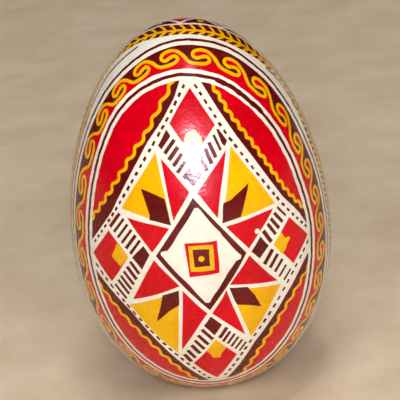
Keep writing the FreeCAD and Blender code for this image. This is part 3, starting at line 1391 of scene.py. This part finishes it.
@dataclass
class DyedSkin:
    """The varnished, dyed skin: four inlays, one to each colour, all round the egg."""

    egg: EggForm
    mesh_pace: float = 1.15
    clearance: float = 0.42
    half_width: float = 60.0
    half_height: float = 70.0
    weld: float = 1e-4
    map_width: float = 100.0
    map_height: float = 124.0

    def __post_init__(self) -> None:
        """Start with no triangles."""
        self.corners: list[np.ndarray] = []
        self.outward: list[np.ndarray] = []
        self.charts: list[np.ndarray] = []
        self.triangles: dict[Dye, list[tuple[int, int, int]]] = {dye: [] for dye in Dye}
        self.count = 0

    def cover(self, face: Face, areas: list[tuple[Dye, Path]], hole: Path) -> None:
        """Cut one face's sheet into triangles and give each the colour on top.

        Args:
            face: The face.
            areas: What was drawn, the lowest first. The first is the whole sheet.
            hole: The blow hole's edge on this sheet, empty where the sheet has none.
        """
        points: list[Point] = []
        faces: list[list[int]] = []
        for _, path in areas:
            faces.append(list(range(len(points), len(points) + len(path))))
            points.extend(path)
        if hole:
            faces.append(list(range(len(points), len(points) + len(hole))))
            points.extend(anticlockwise(hole))
        points.extend(self._lattice(areas[0][1], points))
        spots, _, triangles, _, _, owners = geometry.delaunay_2d_cdt(
            [Vector(p) for p in points], [], faces, INSIDE_ONLY, self.weld, True)
        sheet = np.array([tuple(spot) for spot in spots])
        places, outward = self.egg.lay(sheet, face)
        hole_index = len(areas) if hole else -1
        for triangle, owner in zip(triangles, owners):
            if not owner or hole_index in owner or 0 not in owner:
                continue
            dye = areas[max(owner)][0]
            self.triangles[dye].append(tuple(self.count + i for i in triangle))
        self.corners.append(places)
        self.outward.append(outward)
        self.charts.append(self._chart(sheet, face))
        self.count += len(sheet)
        LOG.info("%s: %d areas, %d points", face.name.lower(), len(areas), len(sheet))

    def _lattice(self, outline: Path, taken: Sequence[Point]) -> Path:
        """Scatter even points over a sheet, clear of what is drawn on it.

        Args:
            outline: The sheet's outline.
            taken: The points drawn on it.

        Returns:
            The lattice's points.
        """
        near = kdtree.KDTree(len(taken))
        for i, (u, v) in enumerate(taken):
            near.insert((u, v, 0.0), i)
        near.balance()
        edge = Oval(outline)
        row_height = self.mesh_pace * math.sqrt(0.75)
        rows = math.ceil(self.half_height / row_height)
        columns = math.ceil(self.half_width / self.mesh_pace)
        lattice: Path = []
        for row in range(-rows, rows + 1):
            for column in range(-columns, columns + 1):
                u, v = (column + 0.5 * (row % 2)) * self.mesh_pace, row * row_height
                if math.hypot(u, v) > edge.radius(math.atan2(v, u)) - self.clearance:
                    continue
                if near.find((u, v, 0.0))[2] > self.clearance:
                    lattice.append((u, v))
        return lattice

    def _chart(self, sheet: np.ndarray, face: Face) -> np.ndarray:
        """Place a sheet on its half of the skin's map.

        Args:
            sheet: The sheet's points.
            face: Which face it is.

        Returns:
            The points on the map, 0 to 1.
        """
        middle = 0.25 if face is Face.FRONT else 0.75
        return np.column_stack([middle + sheet[:, 0] / (2.0 * self.map_width),
                                0.5 + sheet[:, 1] / self.map_height])

    def build(self, finish: DyedFinish) -> bpy.types.Object:
        """Make the inlay of one colour.

        Args:
            finish: The colour's finish.

        Returns:
            The piece.
        """
        used, triangles = np.unique(np.array(self.triangles[finish.dye]), return_inverse=True)
        top, out, chart = (np.vstack(part)[used] for part in (self.corners, self.outward, self.charts))
        triangles = self._facing_out(top, out, triangles.reshape(-1, 3))
        bottom = top - out * self.egg.film
        count = len(top)
        edges = np.vstack([triangles[:, [0, 1]], triangles[:, [1, 2]], triangles[:, [2, 0]]])
        known = {tuple(edge) for edge in edges.tolist()}
        walls = [(b, a, a + count, b + count) for a, b in known if (b, a) not in known]
        faces = triangles.tolist() + (triangles[:, ::-1] + count).tolist() + walls
        mesh = bpy.data.meshes.new(finish.dye.value)
        mesh.from_pydata((np.vstack([top, bottom]) * MM).tolist(), [], faces)
        mesh.update()
        self._dress(mesh, finish, np.vstack([chart, chart]), np.vstack([out, -out]), len(triangles) * 2)
        piece = bpy.data.objects.new(finish.dye.value, mesh)
        bpy.context.scene.collection.objects.link(piece)
        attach(piece, BODY)
        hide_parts("varnish_coat")
        return piece

    @staticmethod
    def _facing_out(top: np.ndarray, out: np.ndarray, triangles: np.ndarray) -> np.ndarray:
        """Turn every triangle so that it faces out of the egg.

        Args:
            top: The corners' places.
            out: The directions out of the egg there.
            triangles: The triangles.

        Returns:
            The turned triangles.
        """
        a, b, c = (top[triangles[:, k]] for k in range(3))
        normal = np.cross(b - a, c - a)
        facing = np.einsum("ij,ij->i", normal, out[triangles[:, 0]])
        return np.where(facing[:, None] < 0.0, triangles[:, ::-1], triangles)

    @staticmethod
    def _dress(mesh: bpy.types.Mesh, finish: DyedFinish, chart: np.ndarray, out: np.ndarray,
               smooth: int) -> None:
        """Give an inlay its material, its map and the egg's own smooth normals.

        Args:
            mesh: The inlay's mesh.
            finish: Its finish.
            chart: Each corner's place on the map.
            out: Each corner's direction out of the egg.
            smooth: How many of the first faces belong to the skin's two sides.
        """
        mesh.materials.append(finish.material())
        corner = np.zeros(len(mesh.loops), dtype=np.int32)
        mesh.loops.foreach_get("vertex_index", corner)
        layer = mesh.uv_layers.new(name="OFBake")
        layer.data.foreach_set("uv", chart[corner].astype(np.float32).ravel())
        mesh.polygons.foreach_set("use_smooth", np.ones(len(mesh.polygons), dtype=bool))
        normals = out[corner]
        for polygon in mesh.polygons[smooth:]:
            normals[polygon.loop_start:polygon.loop_start + polygon.loop_total] = polygon.normal
        mesh.normals_split_custom_set(normals.tolist())


@dataclass
class BlownShell:
    """The shell and its two membranes, which show only through the blow hole."""

    shell: BareShellFinish = BareShellFinish()
    outer: MembraneFinish = MembraneFinish("outer_membrane", linear(238, 228, 206), linear(214, 196, 162))
    inner: MembraneFinish = MembraneFinish("inner_membrane", linear(232, 214, 178), linear(202, 174, 130))

    def dress(self) -> None:
        """Give the three CAD skins their finishes."""
        for node, finish in (("eggshell", self.shell), ("outer_membrane", self.outer),
                             ("inner_membrane", self.inner)):
            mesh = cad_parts[node].data
            mesh.materials.clear()
            mesh.materials.append(finish.material())
            LOG.info("dressed %s", node)


# --------------------------------------------------------------------------
# The studio
# --------------------------------------------------------------------------


@dataclass(frozen=True)
class Lamp:
    """A soft lamp that looks at the egg from a bearing and a height."""

    name: str
    azimuth: float
    elevation: float
    distance: float
    size: tuple[float, float]
    power: float
    tint: Colour = (1.0, 1.0, 1.0)
    mirrored: bool = True
    spread: bool = True

    def hang(self, target: Vector) -> None:
        """Hang the lamp.

        Args:
            target: What it looks at.
        """
        lamp = bpy.data.lights.new(self.name, "AREA")
        lamp.shape = "ELLIPSE"
        lamp.size, lamp.size_y = self.size
        lamp.energy = self.power
        lamp.color = self.tint
        holder = bpy.data.objects.new(self.name, lamp)
        a, e = math.radians(self.azimuth), math.radians(self.elevation)
        back = Vector((math.sin(a) * math.cos(e), -math.cos(a) * math.cos(e), math.sin(e)))
        holder.location = target + back * self.distance
        holder.rotation_euler = back.to_track_quat("Z", "Y").to_euler()
        holder.visible_glossy = self.mirrored
        holder.visible_diffuse = self.spread
        bpy.context.scene.collection.objects.link(holder)


@dataclass
class Studio:
    """The table, the lamps and the camera."""

    target: Vector
    floor_level: float
    camera_elevation: float = 22.0
    camera_distance: float = 0.45
    camera_roll: float = 5.9
    lens: float = 179.87
    shift: tuple[float, float] = (0.00355, 0.00985)
    sensor_width: float = 36.0
    sight: tuple[float, float] = (0.02, 20.0)
    floor_size: float = 6.0
    lamps: tuple[Lamp, ...] = (
        Lamp("front_softbox", azimuth=0.4, elevation=23.7, distance=0.7, size=(0.19, 0.25), power=2.5),
        Lamp("front_glint", azimuth=0.4, elevation=23.7, distance=0.69, size=(0.18, 0.24), power=8.5,
             tint=(0.9, 0.74, 1.0), spread=False),
        Lamp("top_softbox", azimuth=21.6, elevation=74.1, distance=0.8, size=(0.06, 0.04), power=0.4),
        Lamp("overhead", azimuth=0.0, elevation=80.0, distance=1.2, size=(0.5, 0.5), power=4.4,
             tint=(1.0, 0.99, 0.97), mirrored=False),
        Lamp("left_fill", azimuth=-24.0, elevation=34.0, distance=1.2, size=(0.3, 0.3), power=2.2,
             tint=(1.0, 0.99, 0.97), mirrored=False),
        Lamp("right_fill", azimuth=24.0, elevation=34.0, distance=1.2, size=(0.3, 0.3), power=2.2,
             tint=(1.0, 0.99, 0.97), mirrored=False),
        Lamp("back_fill", azimuth=180.0, elevation=40.0, distance=1.2, size=(0.9, 0.9), power=2.4,
             tint=(1.0, 0.98, 0.95), mirrored=False),
    )

    def build(self) -> None:
        """Set the table, hang the lamps and place the camera."""
        self._table()
        self._air()
        for lamp in self.lamps:
            lamp.hang(self.target)
        self._camera()

    def _table(self) -> None:
        """Lay the pale cloth the egg stands on."""
        bpy.ops.object.select_all(action="DESELECT")
        bpy.ops.mesh.primitive_plane_add(size=self.floor_size, location=(0.0, 0.0, self.floor_level))
        cloth = bpy.context.object
        cloth.name = "table_cloth"
        bpy.ops.object.transform_apply(location=True, rotation=False, scale=False)
        cloth.data.materials.append(ClothFinish().material())

    @staticmethod
    def _air() -> None:
        """Close the room behind the table with pale air that only the camera sees."""
        world = bpy.data.worlds.new("room")
        bpy.context.scene.world = world
        world.use_nodes = True
        background = world.node_tree.nodes["Background"]
        background.inputs["Color"].default_value = (*AIR, 1.0)
        world.cycles_visibility.diffuse = False
        world.cycles_visibility.glossy = False
        bpy.context.scene.view_settings.view_transform = "Standard"

    def _camera(self) -> None:
        """Place the camera in front of the egg, a little above it."""
        lens = bpy.data.cameras.new("camera")
        lens.lens = self.lens
        lens.sensor_width = self.sensor_width
        lens.shift_x, lens.shift_y = self.shift
        lens.clip_start, lens.clip_end = self.sight
        camera = bpy.data.objects.new("camera", lens)
        e = math.radians(self.camera_elevation)
        back = Vector((0.0, -math.cos(e), math.sin(e)))
        turn = back.to_track_quat("Z", "Y").to_matrix().to_4x4()
        roll = Matrix.Rotation(math.radians(-self.camera_roll), 4, "Z")
        place = Matrix.Translation(self.target + back * self.camera_distance)
        camera.matrix_world = place @ turn @ roll
        bpy.context.scene.collection.objects.link(camera)
        bpy.context.scene.camera = camera


def seen_from_behind(seam: Path, egg: EggForm) -> Path:
    """Find the front sheet's seam on the back sheet.

    Args:
        seam: The seam's points on the front sheet.
        egg: The egg.

    Returns:
        The same places as points of the back sheet.
    """
    sheet = np.array(seam)
    bearing = np.arctan2(sheet[:, 1], sheet[:, 0])
    far = 2.0 * egg.rim(bearing) - np.hypot(sheet[:, 0], sheet[:, 1])
    return list(zip((-far * np.cos(bearing)).tolist(), (far * np.sin(bearing)).tolist()))


def main() -> None:
    """Build the egg and its studio."""
    logging.basicConfig(level=logging.INFO, format="%(name)s: %(message)s")
    low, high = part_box("varnish_coat")
    shell_low, shell_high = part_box("eggshell")
    egg = EggForm(length=high.z / MM, breadth=(high.x - low.x) / MM, film=(high.x - shell_high.x) / MM)
    skin = DyedSkin(egg)

    front = Pen(seed=11)
    front_face = FrontFace()
    front_face.draw(front)
    skin.cover(Face.FRONT, front.areas, [tuple(p) for p in egg.flatten(egg.hole(), Face.FRONT)])

    back = Pen(seed=23)
    back_face = BackFace(seen_from_behind(front_face.seam.path(points=SEAM_PLACES), egg))
    back_face.draw(back, Pen(seed=37, mirrored=True, stretch=back_face.stretch))
    skin.cover(Face.BACK, back.areas, [])

    for finish in FINISHES:
        piece = skin.build(finish)
        LOG.info("%s: %d faces", piece.name, len(piece.data.polygons))
    BlownShell().dress()
    Studio(target=Vector((0.0, 0.0, high.z / 2.0)), floor_level=min(low.z, shell_low.z)).build()


if __name__ == "__main__":
    main()
